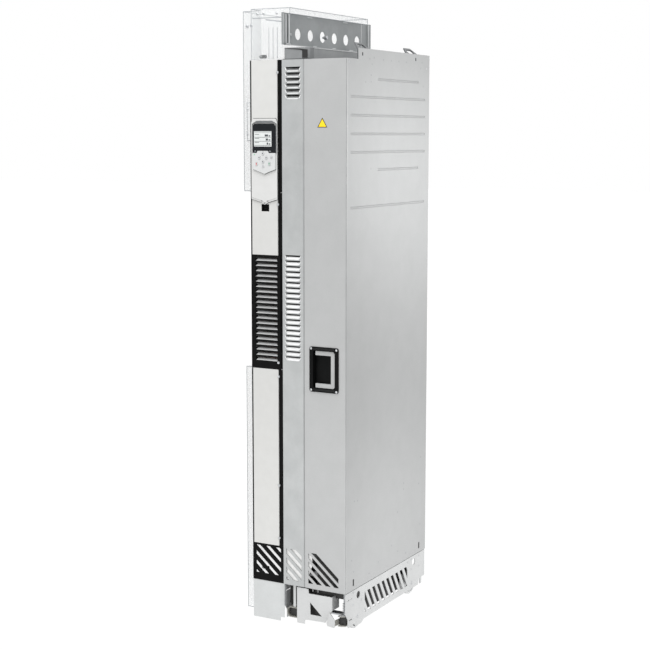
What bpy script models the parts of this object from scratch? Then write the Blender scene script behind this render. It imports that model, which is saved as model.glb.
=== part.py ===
"""A slim floor-standing frequency converter module on a wheeled pedestal.

Metres, +Z up. The front faces -Y, the right side faces +X, and the wheels stand on z = 0.
"""

import math

import bmesh
import bpy
from mathutils import Matrix, Vector
from mathutils.geometry import delaunay_2d_cdt

# Driving dimensions
RIGHT = 0.175
LEFT = -RIGHT
FRONT = -0.250
BACK = 0.248
CASE_LEFT = -0.117
DIVIDER = -0.019
CASE_BOTTOM = 0.114
FRONT_TOP = 1.532
SIDE_TOP = 1.5605
TOP = 1.6665
SHEET = 0.0015
GAP = 0.0004
CORNER = 0.005

# The front is drawn at FRONT; the whole model then moves back by this, so that the
# origin lies midway between the keys' faces and the rear panel
CENTRING = Vector((0, 0.006, 0))

# The black strip at the left of the front, and what is mounted on it
STRIP_RIGHT = DIVIDER - GAP
COVER_LEFT, COVER_RIGHT = -0.111, -0.0315
UPPER_COVER_BOTTOM = 1.0175
GRILLE_BOTTOM = 0.709
LOWER_COVER_BOTTOM = 0.220
COVER_FRONT = FRONT - 0.0025
PLATFORM_FRONT = COVER_FRONT - 0.0030
PANEL_FRONT = PLATFORM_FRONT - 0.0035
KEY_FRONT = PANEL_FRONT - 0.0010

# The galvanised strip and the pedestal
VENT_RIGHT = 0.0480
SHELL_LEFT = 0.0492
WHEEL_RADIUS = 0.033
AXLE_RADIUS = 0.006
FRONT_AXLE_Y = -0.1829
REAR_AXLE_Y = 0.1566
PEDESTAL_TOP = 0.1125
PEDESTAL_LEFT = -0.017
PEDESTAL_BACK = 0.2441
HOLE_SIDES = 20

# The pull handle
DISH = (0.0648, 0.1529, 0.658, 0.7795)
POCKET = (0.0755, 0.1418, 0.668, 0.770)
POCKET_DEPTH = 0.016
BAIL = (0.0820, 0.1397, 0.6695, 0.7680)
BAIL_BAR = 0.011
BAIL_THICKNESS = 0.006
BAIL_AXIS = (0.0855, FRONT + 0.004)


# ---- looks ----

def material(name, colour, roughness, metallic=0.0, alpha=1.0):
    """A Principled material; one per kind of finish."""
    look = bpy.data.materials.get(name)
    if look:
        return look
    look = bpy.data.materials.new(name)
    look.use_nodes = True
    shader = look.node_tree.nodes["Principled BSDF"]
    shader.inputs["Base Color"].default_value = (*colour, 1.0)
    shader.inputs["Roughness"].default_value = roughness
    shader.inputs["Metallic"].default_value = metallic
    shader.inputs["Alpha"].default_value = alpha
    return look


def looks():
    """The object's finishes by name."""
    return {
        "casing": material("galvannealed_steel", (0.58, 0.58, 0.58), 0.45, 0.6),
        "galvanised": material("galvanised_steel", (0.50, 0.52, 0.52), 0.40, 0.8),
        "dark_zinc": material("dark_zinc_steel", (0.25, 0.26, 0.27), 0.45, 0.8),
        "pedestal": material("pedestal_steel", (0.62, 0.62, 0.62), 0.45, 0.6),
        "black": material("black_plastic", (0.012, 0.012, 0.013), 0.50),
        "white": material("white_plastic", (0.78, 0.78, 0.76), 0.45),
        "panel": material("panel_plastic", (0.72, 0.72, 0.72), 0.45),
        "screen": material("display_plastic", (0.03, 0.033, 0.038), 0.20),
        "key": material("key_plastic", (0.55, 0.55, 0.56), 0.50),
        "stop": material("red_key_plastic", (0.55, 0.03, 0.03), 0.45),
        "start": material("green_key_plastic", (0.03, 0.35, 0.08), 0.45),
        "grip": material("grip_plastic", (0.40, 0.40, 0.41), 0.50),
        "screw": material("screw_steel", (0.55, 0.55, 0.56), 0.30, 1.0),
        "clear": material("clear_polycarbonate", (0.90, 0.92, 0.93), 0.08, 0.0, 0.25),
        "wheel": material("wheel_plastic", (0.60, 0.60, 0.60), 0.55),
        "copper": material("copper_bar", (0.72, 0.35, 0.22), 0.35, 1.0),
        "aluminium": material("heat_sink_aluminium", (0.55, 0.56, 0.58), 0.40, 1.0),
        "capacitor": material("capacitor_can", (0.05, 0.06, 0.08), 0.40),
        "board": material("circuit_board", (0.02, 0.16, 0.07), 0.50),
        "fan": material("fan_plastic", (0.03, 0.03, 0.03), 0.50),
    }


# ---- outlines ----

def rectangle(left, right, low, high):
    """Four corners of an upright rectangle."""
    return [(left, low), (right, low), (right, high), (left, high)]


def circle(u, v, radius, sides=HOLE_SIDES):
    """Points round a circle, anticlockwise."""
    turn = 2 * math.pi / sides
    return [(u + radius * math.cos(turn * i), v + radius * math.sin(turn * i)) for i in range(sides)]


def rounded(left, right, low, high, radius, steps=3):
    """A rectangle with arcs for corners."""
    centres = ((right - radius, low + radius, -90), (right - radius, high - radius, 0),
               (left + radius, high - radius, 90), (left + radius, low + radius, 180))
    points = []
    for u, v, start in centres:
        for step in range(steps + 1):
            angle = math.radians(start + 90 * step / steps)
            points.append((u + radius * math.cos(angle), v + radius * math.sin(angle)))
    return points


def clipped(points, inside, cut):
    """The part of an outline on one side of a line; inside is signed, cut gives the crossing."""
    kept = []
    for here, there in zip(points, points[1:] + points[:1]):
        a, b = inside(here), inside(there)
        if a >= 0:
            kept.append(here)
        if (a > 0 > b) or (a < 0 < b):
            kept.append(cut(here, there, a / (a - b)))
    return kept


def between(start, end, share):
    """A point part of the way from start to end."""
    return tuple(s + (e - s) * share for s, e in zip(start, end))


def area(points):
    """The area that an outline encloses."""
    pairs = zip(points, points[1:] + points[:1])
    return abs(sum(a[0] * b[1] - b[0] * a[1] for a, b in pairs)) / 2


def slanted_slots(field, first, slope, spacing, height):
    """Parallel slots running down to the right across a field, cut off by its edges.

    first is the height of the top slot's upper edge at the field's left side, slope the fall
    per unit of run, and spacing and height are measured upright.
    """
    left, right, low, high = field
    slots = []
    top = first
    while top > low:
        slot = rectangle(left, right, low, high)
        for sign, level in ((1, top), (-1, top - height)):
            def inside(point, sign=sign, level=level):
                return sign * (level - slope * (point[0] - left) - point[1])
            slot = clipped(slot, inside, between)
        if len(slot) > 2 and area(slot) > 2e-5:
            slots.append(slot)
        top -= spacing
    return slots


# ---- building solids ----

def on_front(y):
    """Outlines in (x, z) on the plane at y."""
    return lambda u, v: (u, y, v)


def on_side(x):
    """Outlines in (y, z) on the plane at x."""
    return lambda u, v: (x, u, v)


def on_floor(z):
    """Outlines in (x, y) on the plane at z."""
    return lambda u, v: (u, v, z)


def encloses(loop, point):
    """Whether a point is inside an outline, by counting the edges to its right."""
    u, v = point
    crossings = 0
    for (ua, va), (ub, vb) in zip(loop, loop[1:] + loop[:1]):
        if (va > v) != (vb > v) and u < ua + (ub - ua) * (v - va) / (vb - va):
            crossings += 1
    return crossings % 2 == 1


def fill(bm, place, outline, holes=()):
    """Fill a flat outline round its holes with triangles."""
    points, edges = [], []
    for loop in (outline, *holes):
        start = len(points)
        points += [Vector(point) for point in loop]
        edges += [(start + i, start + (i + 1) % len(loop)) for i in range(len(loop))]
    inside_only = 1
    flat, _, triangles, *_ = delaunay_2d_cdt(points, edges, [], inside_only, 1e-7)
    verts = [bm.verts.new(place(*point)) for point in flat]
    for triangle in triangles:
        middle = sum((flat[i] for i in triangle), Vector((0, 0))) / 3
        if not any(encloses(hole, middle) for hole in holes):
            bm.faces.new([verts[i] for i in triangle])


def face(bm, *points):
    """One flat face through points in space."""
    bm.faces.new([bm.verts.new(point) for point in points])


def keep(name, bm, look, origin=(0, 0, 0)):
    """Make an object of a finished mesh, with its origin at a point in the model's space."""
    bmesh.ops.translate(bm, verts=bm.verts, vec=-Vector(origin))
    mesh = bpy.data.meshes.new(name)
    bm.to_mesh(mesh)
    bm.free()
    mesh.materials.append(look)
    piece = bpy.data.objects.new(name, mesh)
    piece.location = Vector(origin) + CENTRING
    bpy.context.collection.objects.link(piece)
    return piece


def plate(name, look, place, outline, depth, holes=(), origin=(0, 0, 0)):
    """A flat piece of even thickness; depth is the step from its first face to its second."""
    bm = bmesh.new()
    fill(bm, place, outline, holes)
    made = bmesh.ops.extrude_face_region(bm, geom=bm.faces[:])
    moved = [item for item in made["geom"] if isinstance(item, bmesh.types.BMVert)]
    bmesh.ops.translate(bm, verts=moved, vec=depth)
    bmesh.ops.recalc_face_normals(bm, faces=bm.faces)
    return keep(name, bm, look, origin)


def folded(name, look, bm, outward, thickness=SHEET, origin=(0, 0, 0)):
    """Thicken a surface into sheet metal whose outer side faces roughly along outward."""
    bmesh.ops.remove_doubles(bm, verts=bm.verts, dist=2e-5)
    bmesh.ops.recalc_face_normals(bm, faces=bm.faces)
    largest = max(bm.faces, key=lambda f: abs(f.normal.dot(Vector(outward))) * f.calc_area())
    if largest.normal.dot(Vector(outward)) < 0:
        bmesh.ops.reverse_faces(bm, faces=bm.faces)
    piece = keep(name, bm, look, origin)
    wall = piece.modifiers.new("Sheet", "SOLIDIFY")
    wall.thickness = thickness
    wall.offset = -1
    wall.use_even_offset = True
    return piece


def pressing(bm, place, deep, outer, inner):
    """A tray pressed out of a sheet: sloping sides from an outer loop to a flat inner loop."""
    pairs = list(zip(outer, inner))
    for (a, c), (b, d) in zip(pairs, pairs[1:] + pairs[:1]):
        face(bm, place(*a), place(*b), deep(*d), deep(*c))
    face(bm, *[deep(u, v) for u, v in inner])


def louvre(bm, y, left, right, top, height, depth):
    """A slot whose lower lip slopes inwards; its opening is along the top."""
    taper, gap = 0.005, 0.0040
    low = top - height
    corners = [(left, y, low), (right, y, low), (right, y, top), (left, y, top)]
    lip_right = (right - taper, y + depth, top - gap)
    lip_left = (left + taper, y + depth, top - gap)
    face(bm, corners[0], corners[1], lip_right, lip_left)
    face(bm, corners[0], lip_left, corners[3])
    face(bm, corners[1], corners[2], lip_right)
    return rectangle(left, right, low, top)


def turned(name, look, profile, start, axis, sides=32):
    """A round piece: profile gives (distance along the axis, radius) round its section."""
    turn = Vector((1, 0, 0)).rotation_difference(Vector(axis)).to_matrix()
    bm = bmesh.new()
    rings = []
    for along, radius in profile:
        steps = range(sides) if radius > 0 else range(1)
        angles = [2 * math.pi * i / sides for i in steps]
        points = [Vector((along, radius * math.cos(a), radius * math.sin(a))) for a in angles]
        rings.append([bm.verts.new(Vector(start) + turn @ point) for point in points])
    closed = profile[0][1] > 0 and profile[-1][1] > 0
    following = rings[1:] + rings[:1] if closed else rings[1:]
    for ring, after in zip(rings, following):
        for i in range(sides):
            j = (i + 1) % sides
            corners = [ring[i % len(ring)], ring[j % len(ring)],
                       after[j % len(after)], after[i % len(after)]]
            bm.faces.new(list(dict.fromkeys(corners)))
    bmesh.ops.recalc_face_normals(bm, faces=bm.faces)
    piece = keep(name, bm, look, start)
    piece.data.shade_smooth()
    piece.data.set_sharp_from_angle(angle=math.radians(35))
    return piece


def join_to(piece, others):
    """Weld helper solids onto a piece, and leave the helpers out of the model."""
    for other in others:
        weld = piece.modifiers.new("Weld " + other.name, "BOOLEAN")
        weld.operation = "UNION"
        weld.object = other
        other.hide_render = True
        other.display_type = "WIRE"


# ---- casing ----

def groove(bm, y_start, y_end, z):
    """A long stiffening groove pressed into the right side."""
    half, depth, slope = 0.0038, 0.0024, 0.0028
    outer = rectangle(y_start, y_end, z - half, z + half)
    inner = rectangle(y_start + slope, y_end - slope, z - half + slope, z + half - slope)
    pressing(bm, on_side(RIGHT), on_side(RIGHT - depth), outer, inner)
    return outer


def build_casing_shell(look):
    """The folded sheet that makes the wide front plate and the right side."""
    step_y = FRONT + 0.066
    rows = [(-0.0735, 0.1785, z) for z in (1.483, 1.244)]
    rows += [(-0.2285, 0.2215, z) for z in (1.435, 1.387, 1.339, 1.291, 1.147)]
    bm = bmesh.new()
    holes = [groove(bm, *row) for row in rows]
    holes += [rectangle(y - 0.0015, y + 0.0015, 0.1255, 0.1425) for y in (-0.2065, 0.2045)]
    holes += [rounded(y - 0.002, y + 0.002, 1.542, 1.550, 0.0018) for y in (-0.1625, 0.1575)]
    side = [(FRONT + CORNER, CASE_BOTTOM), (BACK, CASE_BOTTOM), (BACK, SIDE_TOP),
            (step_y, SIDE_TOP), (step_y, FRONT_TOP), (FRONT + CORNER, FRONT_TOP)]
    fill(bm, on_side(RIGHT), side, holes)

    field = (0.0593, 0.1527, 0.127, 0.213)
    slope = math.tan(math.radians(41))
    slots = slanted_slots(field, field[3] + slope * 0.0247, slope, 0.0234, 0.0140)
    window = rounded(POCKET[0] - 0.002, POCKET[1] + 0.002, POCKET[2] - 0.002, POCKET[3] + 0.002, 0.008)
    front = rectangle(SHELL_LEFT, RIGHT - CORNER, CASE_BOTTOM, FRONT_TOP)
    fill(bm, on_front(FRONT), front, [*slots, window])
    fill(bm, on_side(SHELL_LEFT), rectangle(FRONT, FRONT + 0.012, CASE_BOTTOM, FRONT_TOP))

    bend = [math.radians(-90 + 30 * step) for step in range(4)]
    arc = [(RIGHT - CORNER * (1 - math.cos(a)), FRONT + CORNER * (1 + math.sin(a))) for a in bend]
    for (xa, ya), (xb, yb) in zip(arc, arc[1:]):
        face(bm, (xa, ya, CASE_BOTTOM), (xb, yb, CASE_BOTTOM), (xb, yb, FRONT_TOP), (xa, ya, FRONT_TOP))
    return folded("casing_shell", look, bm, (1, 0, 0))


def build_vent_strip(look):
    """The galvanised strip beside the wide front plate, with two banks of louvres."""
    left, low, high = DIVIDER + 0.0005, CASE_BOTTOM, FRONT_TOP
    edge = VENT_RIGHT - 0.0035
    bm = bmesh.new()
    pitch, height, depth = 0.0143, 0.0118, 0.0070
    holes = [louvre(bm, FRONT, -0.009, 0.0385, 1.5128 - pitch * i, height, depth) for i in range(6)]
    holes += [louvre(bm, FRONT, -0.011, 0.0380, 1.0195 - pitch * i, height, depth) for i in range(20)]
    slope = math.tan(math.radians(41))
    holes += slanted_slots((-0.010, 0.0385, 0.127, 0.215), 0.241, slope, 0.026, 0.0150)
    fill(bm, on_front(FRONT), rectangle(left, edge, low, high), holes)
    ridge = FRONT + 0.003
    face(bm, (edge, FRONT, low), (VENT_RIGHT, ridge, low), (VENT_RIGHT, ridge, high), (edge, FRONT, high))
    fill(bm, on_side(VENT_RIGHT), rectangle(ridge, FRONT + 0.012, low, high))
    return folded("vent_strip", look, bm, (0, -1, 0), 0.0012)


def build_walls(look, dark):
    """The flat inner and outer walls behind the two fronts."""
    back_inner = BACK - SHEET - GAP
    case_inner = RIGHT - 0.0035 - GAP
    notch, tall, level = FRONT + 0.1390, 1.5705, 1.5345
    divider = [(FRONT + 0.0022, 0.1165), (back_inner - GAP, 0.1165), (back_inner - GAP, tall),
               (notch, tall), (notch, level), (FRONT + 0.0022, level)]
    plate("divider_wall", dark, on_side(DIVIDER + 0.001), divider, (SHEET, 0, 0))
    keyholes = [rounded(x - 0.006, x + 0.006, z - 0.012, z + 0.012, 0.0055)
                for x in (-0.09, 0.15) for z in (0.25, 1.45)]
    plate("rear_panel", look, on_front(BACK), rectangle(CASE_LEFT, case_inner + 0.0015, 0.1165, 1.5585),
          (0, -SHEET, 0), keyholes)
    plate("left_side_panel", look, on_side(CASE_LEFT),
          rectangle(FRONT + 0.0055, back_inner, 0.7005, 1.1835), (SHEET, 0, 0))
    inlet = rounded(0.005, 0.150, -0.16, 0.16, 0.01)
    inside = rectangle(-0.0160, case_inner - GAP, FRONT + 0.0145, back_inner - GAP)
    plate("floor_pan", dark, on_floor(0.1155), inside, (0, 0, SHEET), [inlet])
    slots = [rectangle(0.010, 0.145, y, y + 0.010) for y in [-0.11 + 0.02 * i for i in range(12)]]
    plate("top_plate", dark, on_floor(1.5300), inside, (0, 0, -SHEET), slots)


def build_lifting_bracket(name, look, centre):
    """A strap across the roof whose right end stands up, then leans inwards as a lifting eye."""
    base_z, lean, rise = 1.5335, math.radians(46), 0.0215
    half, top_half, reach = 0.0410, 0.0200, 0.0290
    left, right = -0.010, 0.1655
    bm = bmesh.new()
    fill(bm, on_floor(base_z), rectangle(left, right, centre - half, centre + half))

    def leaning(u, v):
        return (right - v * math.sin(lean), u, base_z + rise + v * math.cos(lean))
    fill(bm, on_side(right), rectangle(centre - half, centre + half, base_z, base_z + rise))
    ear = [(centre - half, 0), (centre + half, 0), (centre + top_half, reach), (centre - top_half, reach)]
    eye = rounded(centre - 0.018, centre + 0.018, 0.006, 0.022, 0.007)
    fill(bm, leaning, ear, [eye])
    return folded(name, look, bm, (0, 0, 1), 0.003)


def build_top_bracket(look):
    """The grey block above the galvanised strip that the gland plate rests over."""
    outline = rounded(DIVIDER + 0.0030, 0.0600, FRONT + 0.0015, FRONT + 0.0430, 0.012)
    return plate("top_bracket", look, on_floor(1.5335), outline, (0, 0, 0.0290))


def build_gland_plate(look):
    """The upright dark plate with six cable holes; each end has a rounded channel."""
    low, high, base = 1.5710, 1.6540, -0.014
    front, rear, offset = FRONT, 0.2475, 0.004
    end = 0.0435
    bm = bmesh.new()
    holes = [circle(-0.1728 + 0.0672 * i, 1.6014, 0.015) for i in range(6)]
    fill(bm, on_side(base), rectangle(front + end, rear - end, low, high), holes)
    for edge, step in ((front, 1), (rear, -1)):
        section = [(base, edge + step * end), (base - offset, edge + step * (end - 0.006)),
                   (base - offset, edge + step * 0.012), (base, edge + step * 0.006),
                   (base, edge), (base - 0.005, edge)]
        for (xa, ya), (xb, yb) in zip(section, section[1:]):
            face(bm, (xa, ya, low), (xb, yb, low), (xb, yb, high), (xa, ya, high))
    return folded("gland_plate", look, bm, (1, 0, 0))


# ---- control strip ----

def build_control_frame(look):
    """The black strip that carries the covers; open behind them, slotted at the bottom."""
    slope = math.tan(math.radians(41))
    openings = [rectangle(-0.104, -0.038, 1.03, 1.515), rectangle(-0.105, -0.031, 0.722, 1.012),
                rectangle(-0.104, -0.038, 0.235, 0.695)]
    openings += slanted_slots((-0.108, -0.028, 0.1336, 0.213), 0.279, slope, 0.027, 0.013)
    outline = rectangle(CASE_LEFT - 0.0003, STRIP_RIGHT, CASE_BOTTOM, FRONT_TOP)
    plate("control_frame", look, on_front(FRONT + 0.001), outline, (0, 0.004, 0), openings)


def build_covers(look, grille_look):
    """White upper and lower covers, with the black louvred grille between them."""
    port = rectangle(-0.0817, -0.0575, 1.134, 1.153)
    upper = rectangle(COVER_LEFT, COVER_RIGHT, UPPER_COVER_BOTTOM, FRONT_TOP)
    lower = rectangle(COVER_LEFT, COVER_RIGHT, LOWER_COVER_BOTTOM, GRILLE_BOTTOM - GAP)
    plate("upper_cover", look, on_front(COVER_FRONT), upper, (0, 0.003, 0), [port])
    plate("lower_cover", look, on_front(COVER_FRONT), lower, (0, 0.003, 0))
    bm = bmesh.new()
    front = FRONT - 0.0018
    pitch, height, depth = 0.01423, 0.0112, 0.0070
    holes = [louvre(bm, front, -0.103, -0.033, 1.0110 - pitch * i, height, depth) for i in range(20)]
    outline = rectangle(COVER_LEFT, -0.0240, GRILLE_BOTTOM, UPPER_COVER_BOTTOM - GAP)
    fill(bm, on_front(front), outline, holes)
    return folded("front_grille", grille_look, bm, (0, -1, 0), 0.0015)


def build_cover_screws(look):
    """Pan-head screws along the right edge of the covers."""
    heights = {"cover_screw_1": 1.499, "cover_screw_2": 1.153, "cover_screw_3": 0.7280,
               "cover_screw_4": 0.690, "cover_screw_5": 0.3895, "cover_screw_6": 0.242}
    for name, z in heights.items():
        head = [(0, 0), (0, 0.0022), (0.0006, 0.0035), (0.0022, 0.0040), (0.0022, 0)]
        turned(name, look, head, (-0.0300, COVER_FRONT - GAP - 0.0022, z), (0, 1, 0), 16)


def build_platform(look):
    """The raised white mount for the hand-held panel, pointed at the bottom."""
    outline = [(-0.1107, 1.1665), (-0.0800, 1.1585), (-0.0695, 1.1524), (-0.0590, 1.1585),
               (-0.0310, 1.1665), (-0.0310, 1.3700), (-0.0360, 1.3793), (-0.1050, 1.3793),
               (-0.1107, 1.3700)]
    plate("panel_platform", look, on_front(PLATFORM_FRONT), outline, (0, 0.003 - GAP, 0))


def keys():
    """Each key's look, and its outline as seen from the front."""
    centre_x, centre_z, reach = -0.0730, 1.2767, 0.0109
    arrow = 0.0042
    return {
        "key_up": ("key", circle(centre_x, centre_z + reach, arrow, 16)),
        "key_down": ("key", circle(centre_x, centre_z - reach, arrow, 16)),
        "key_left": ("key", circle(centre_x - reach, centre_z, arrow, 16)),
        "key_right": ("key", circle(centre_x + reach, centre_z, arrow, 16)),
        "key_stop": ("stop", circle(-0.0927, 1.2597, 0.0045, 16)),
        "key_start": ("start", circle(-0.0528, 1.2602, 0.0045, 16)),
        "key_local_remote": ("key", circle(-0.0722, 1.2535, 0.0035, 16)),
        "key_help": ("key", circle(-0.0467, 1.2776, 0.0036, 16)),
        "key_soft_left": ("key", rounded(-0.1000, -0.0915, 1.2915, 1.2965, 0.0015)),
        "key_soft_right": ("key", rounded(-0.0545, -0.0450, 1.2915, 1.2965, 0.0015)),
    }


def grown(points, by):
    """An outline moved outwards from its middle by a fixed distance."""
    u = sum(point[0] for point in points) / len(points)
    v = sum(point[1] for point in points) / len(points)
    moved = []
    for a, b in points:
        scale = 1 + by / math.hypot(a - u, b - v)
        moved.append((u + (a - u) * scale, v + (b - v) * scale))
    return moved


def build_panel(look):
    """The hand-held control panel: light keypad housing, dark display housing and ten keys."""
    seam, bump = 1.2890, 1.2945
    left, right, top = -0.1045, -0.0343, 1.3660
    bump_left, bump_right, slant = -0.0890, -0.0570, 0.003
    dark = ("key_soft_left", "key_soft_right")
    depth = (0, PLATFORM_FRONT - PANEL_FRONT - GAP, 0)
    outlines = keys()
    wells = {name: grown(outline, GAP) for name, (_, outline) in outlines.items()}
    keypad = [(left, 1.2460), (-0.0790, 1.2375), (-0.0680, 1.2335), (-0.0590, 1.2375), (right, 1.2460),
              (right, seam), (bump_right + slant, seam), (bump_right, bump),
              (bump_left, bump), (bump_left - slant, seam), (left, seam)]
    plate("control_panel", look["panel"], on_front(PANEL_FRONT), keypad, depth,
          [well for name, well in wells.items() if name not in dark])
    display = [(left, seam + GAP), (bump_left - slant - GAP, seam + GAP), (bump_left - GAP, bump + GAP),
               (bump_right + GAP, bump + GAP), (bump_right + slant + GAP, seam + GAP), (right, seam + GAP),
               (right, top - 0.006), (right - 0.006, top), (left + 0.006, top), (left, top - 0.006)]
    dark_wells = [wells[name] for name in dark]
    plate("display_window", look["screen"], on_front(PANEL_FRONT), display, depth, dark_wells)
    for name, (kind, outline) in outlines.items():
        plate(name, look[kind], on_front(KEY_FRONT), outline, (0, 0.0026, 0))


def build_skirt(look):
    """The galvanised plate under the control strip that hides the cable entry."""
    left, right, low, high = CASE_LEFT, -0.0177, 0.006, 0.1135
    outline = [(left, low), (-0.0304, low), (-0.0304, 0.017), (right, 0.017), (right, high), (left, high)]
    plate("skirt_plate", look, on_front(FRONT + 0.002), outline, (0, SHEET, 0))


# ---- pull handle ----

def build_handle(dish_look, bail_look):
    """A black dish sunk in the front plate, and the bail that swings out of it."""
    bm = bmesh.new()
    face_y = FRONT - 0.0022
    floor = rounded(POCKET[0] + 0.001, POCKET[1] - 0.001, POCKET[2] + 0.001, POCKET[3] - 0.001, 0.005)
    mouth = rounded(*POCKET, 0.006)
    pressing(bm, on_front(face_y), on_front(FRONT + POCKET_DEPTH - 0.0022), mouth, floor)
    fill(bm, on_front(face_y), rounded(*DISH, 0.006), [mouth])
    folded("handle_dish", dish_look, bm, (0, -1, 0), 0.0016)
    left, right, low, high = BAIL
    cut = 0.004
    outline = [(left, low), (right - cut, low), (right, low + cut), (right, high - cut),
               (right - cut, high), (left, high), (left, high - BAIL_BAR),
               (right - BAIL_BAR, high - BAIL_BAR), (right - BAIL_BAR, low + BAIL_BAR),
               (left, low + BAIL_BAR)]
    x, y = BAIL_AXIS
    plate("handle_bail", bail_look, on_front(y - BAIL_THICKNESS / 2), outline,
          (0, BAIL_THICKNESS, 0), origin=(x, y, (low + high) / 2))


# ---- clear shrouds ----

def build_upper_shroud(look):
    """The clear hood over the cable entry and the left side of the upper terminals."""
    low, step = 1.1860, 1.5345
    inner, left, right = CASE_LEFT - 0.0008, LEFT, DIVIDER - 0.0015
    cap_front, front, back = FRONT + 0.0085, FRONT + 0.0585, BACK - 0.0495
    lip, lip_low, over_plate = 0.0020, 1.6500, 1.6560
    bm = bmesh.new()
    fill(bm, on_front(cap_front), [(inner, step), (right, step), (right, over_plate), (lip, over_plate),
                                   (lip, TOP), (inner, TOP)])
    fill(bm, on_side(lip), [(cap_front, lip_low), (back, lip_low), (back, over_plate), (back, TOP),
                            (cap_front, TOP), (cap_front, over_plate)])
    fill(bm, on_side(inner), rectangle(cap_front, front, step, TOP))
    bump = rectangle(left + 0.012, inner - 0.012, 1.3210, 1.4230)
    crown = rectangle(left + 0.016, inner - 0.016, 1.3250, 1.4190)
    pressing(bm, on_front(front), on_front(front - 0.009), bump, crown)
    fill(bm, on_front(front), [(left, low), (inner, low), (inner, step), (inner, TOP), (left, TOP)], [bump])
    fill(bm, on_side(left), rectangle(front, back, low, TOP))
    fill(bm, on_front(back), [(left, low), (inner, low), (inner, step), (right, step), (right, over_plate),
                              (lip, over_plate), (lip, TOP), (left, TOP)])
    fill(bm, on_floor(TOP), [(left, front), (inner, front), (inner, cap_front), (lip, cap_front),
                             (lip, back), (left, back)])
    fill(bm, on_floor(low), rectangle(left, inner, front - 0.015, front))
    return folded("upper_shroud", look, bm, (0, 0, 1), 0.002)


def build_lower_shroud(look):
    """The clear channel over the lower terminals on the left."""
    low, high = 0.006, 0.699
    inner, left = CASE_LEFT - 0.0008, LEFT
    front, back = FRONT + 0.0635, BACK - 0.0495
    bm = bmesh.new()
    fill(bm, on_front(front), rectangle(left, inner, low, high))
    fill(bm, on_side(left), rectangle(front, back, low, high))
    fill(bm, on_front(back), rectangle(left, inner, low, high))
    fill(bm, on_floor(high), rectangle(left, inner, front, back))
    return folded("lower_shroud", look, bm, (-1, 0, 0), 0.002)


# ---- pedestal ----

def side_outline():
    """The pedestal's side plate, with a cut front corner and a lobe over the front wheel."""
    low = 0.0155
    return [(FRONT, PEDESTAL_TOP), (FRONT, 0.0553), (-0.2360, 0.0376), (-0.2360, low), (-0.2213, low),
            (-0.2032, 0.0185), (-0.1907, 0.0080), (-0.1597, 0.0080), (-0.1461, low),
            (0.2010, low), (0.2060, 0.0320), (0.2129, 0.0320), (0.2129, low), (0.2245, low),
            (0.2245, 0.0340), (PEDESTAL_BACK, 0.0340), (PEDESTAL_BACK, PEDESTAL_TOP)]


def build_pedestal_sides(look):
    """The two slotted side plates."""
    slope = math.tan(math.radians(59))
    field = (-0.1395, 0.1295, 0.0320, 0.0906)
    first = field[3] + slope * (field[1] - field[0]) - 0.012
    holes = slanted_slots(field, first, slope, 0.0480, 0.0265)
    holes += [circle(-0.1775, 0.093, 0.010), circle(0.1695, 0.094, 0.010)]
    holes.append(rectangle(-0.244, -0.2145, 0.0918, 0.0943))
    holes.append(rectangle(-0.2320, -0.2130, 0.0335, 0.0365))
    outline = side_outline()
    plate("pedestal_right_side", look, on_side(RIGHT), outline, (-0.002, 0, 0), holes)
    plate("pedestal_left_side", look, on_side(PEDESTAL_LEFT), outline, (0.002, 0, 0), holes)


def build_pedestal_front(look):
    """The front plate with a foot, a triangular window and a folded right edge."""
    y = FRONT + 0.003
    right, fold_low, fold_high = 0.1315, 0.0595, 0.0970
    outline = [(0.0220, 0.1100), (0.0570, 0.1100), (0.0590, fold_high), (right, fold_high), (right, fold_low),
               (0.1110, 0.0235), (0.0570, 0.0225), (0.0460, 0.0210), (0.0460, 0.0095), (0.0220, 0.0095)]
    window = [(0.0630, 0.0734), (0.0637, 0.0385), (0.1000, 0.0385)]
    bm = bmesh.new()
    fill(bm, on_front(y), outline, [window])
    fill(bm, on_side(right), rectangle(y, y + 0.040, fold_low, fold_high))
    return folded("pedestal_front_plate", look, bm, (0, -1, 0), 0.002)


def build_pedestal_rear(look):
    """The cross member that ties the side plates at the back."""
    left, right = PEDESTAL_LEFT + 0.0025, RIGHT - 0.0025
    y, low, high = PEDESTAL_BACK - 0.004, 0.036, 0.108
    slots = [rounded(x, x + 0.034, 0.060, 0.084, 0.005) for x in (0.005, 0.060, 0.115)]
    bm = bmesh.new()
    fill(bm, on_front(y), rectangle(left, right, low, high), slots)
    fill(bm, on_floor(low), rectangle(left, right, y - 0.025, y))
    fill(bm, on_floor(high), rectangle(left, right, y - 0.025, y))
    return folded("pedestal_rear_beam", look, bm, (0, 1, 0), 0.002)


def build_left_bracket(look):
    """The short channel at the pedestal's front left, open to the front, with cut corners."""
    mouth, web = FRONT + 0.004, FRONT + 0.022
    left, right, low, high, cut = -0.0080, 0.0205, 0.0230, 0.0485, 0.006
    outline = [(right, low), (left + cut, low), (left, low + cut), (left, high - cut),
               (left + cut, high), (right, high)]
    bm = bmesh.new()
    fill(bm, on_front(web), outline)
    for (xa, za), (xb, zb) in zip(outline, outline[1:]):
        face(bm, (xa, mouth, za), (xb, mouth, zb), (xb, web, zb), (xa, web, za))
    return folded("left_leg_bracket", look, bm, (0, -1, 0), 0.0018)


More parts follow.
